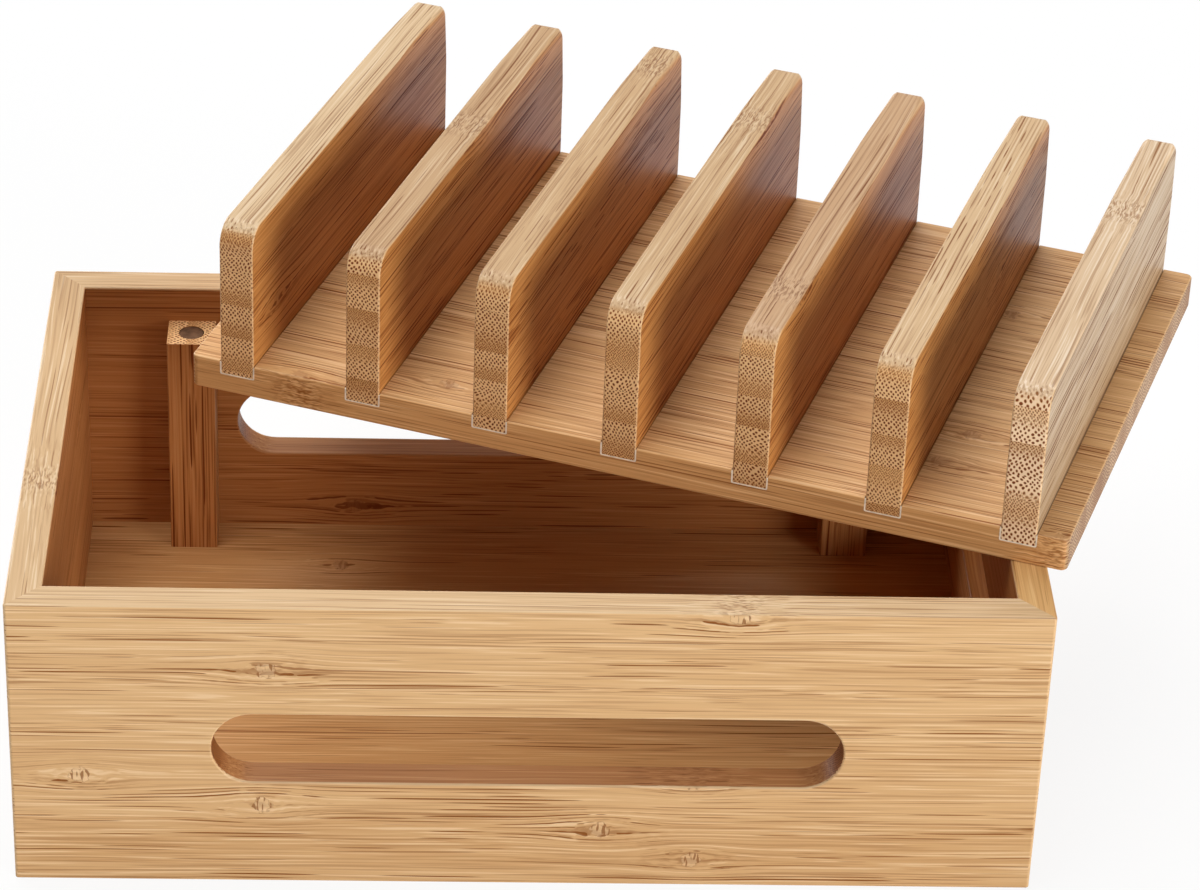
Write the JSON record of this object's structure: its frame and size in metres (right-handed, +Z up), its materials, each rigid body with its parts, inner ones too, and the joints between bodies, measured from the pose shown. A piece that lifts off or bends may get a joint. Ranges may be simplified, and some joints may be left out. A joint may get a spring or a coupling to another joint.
{
  "type": "charging station organizer",
  "caption": "Bamboo cable box with cable slots and a lift-off lid whose upright dividers hold phones and tablets while they charge.",
  "frame": {"origin": "centre of the box's footprint, on the plane that the box stands on", "axes": "+X to the box's right seen from its front, +Y to its back, +Z up"},
  "size_m": [0.3501, 0.2649, 0.15],
  "materials": {
    "bamboo_wall": "clear satin oil on laminated bamboo",
    "bamboo_bottom": "clear satin oil on laminated bamboo",
    "bamboo_post": "clear satin oil on laminated bamboo",
    "bamboo_lid": "clear satin oil on laminated bamboo",
    "bamboo_divider": "clear satin oil on laminated bamboo",
    "magnet": "dull plated steel, darkened"
  },
  "bodies": {
    "box": {"front_panel": "bamboo_wall", "back_panel": "bamboo_wall", "left_panel": "bamboo_wall", "right_panel": "bamboo_wall", "bottom_panel": "bamboo_bottom", "post_front_left": "bamboo_post", "post_magnet_front_left": "magnet", "post_front_right": "bamboo_post", "post_magnet_front_right": "magnet", "post_back_left": "bamboo_post", "post_magnet_back_left": "magnet", "post_back_right": "bamboo_post", "post_magnet_back_right": "magnet"},
    "lid": {"lid_board": "bamboo_lid", "divider_1": "bamboo_divider", "divider_2": "bamboo_divider", "divider_3": "bamboo_divider", "divider_4": "bamboo_divider", "divider_5": "bamboo_divider", "divider_6": "bamboo_divider", "divider_7": "bamboo_divider", "lid_magnet_front_left": "magnet", "lid_magnet_front_right": "magnet", "lid_magnet_back_left": "magnet", "lid_magnet_back_right": "magnet"}
  },
  "joints": [
    {"name": "lid_lift", "type": "slide", "parent": "box", "child": "lid", "axis": [0, 0, 1], "range_m": [0, 0.12]}
  ]
}
